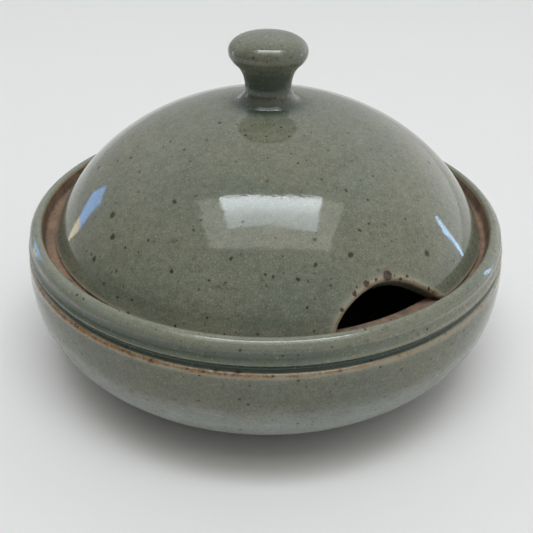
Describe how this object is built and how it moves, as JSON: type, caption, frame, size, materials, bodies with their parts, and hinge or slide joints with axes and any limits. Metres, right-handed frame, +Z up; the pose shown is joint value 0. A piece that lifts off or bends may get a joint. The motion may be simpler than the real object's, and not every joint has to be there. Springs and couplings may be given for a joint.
{
  "type": "butter crock",
  "caption": "Low round stoneware butter dish with a recessed ledge and a lift-off domed lid, notched for a knife or spoon and topped with a turned knob.",
  "frame": {"origin": "centre of the foot ring, on the surface the dish stands on", "axes": "+Z up along the turning axis, -Y to the front; the notch in the lid is 30 degrees round from the front towards +X"},
  "size_m": [0.1512, 0.1512, 0.102],
  "materials": {
    "speckled_glaze": "glossy grey-green glaze with dark iron specks over brown stoneware"
  },
  "bodies": {
    "dish": {"dish": "speckled_glaze"},
    "lid": {"lid_dome": "speckled_glaze", "lid_knob": "speckled_glaze"}
  },
  "joints": [
    {"name": "lid_lift", "type": "slide", "parent": "dish", "child": "lid", "axis": [0, 0, 1], "range_m": [0, 0.08]}
  ]
}
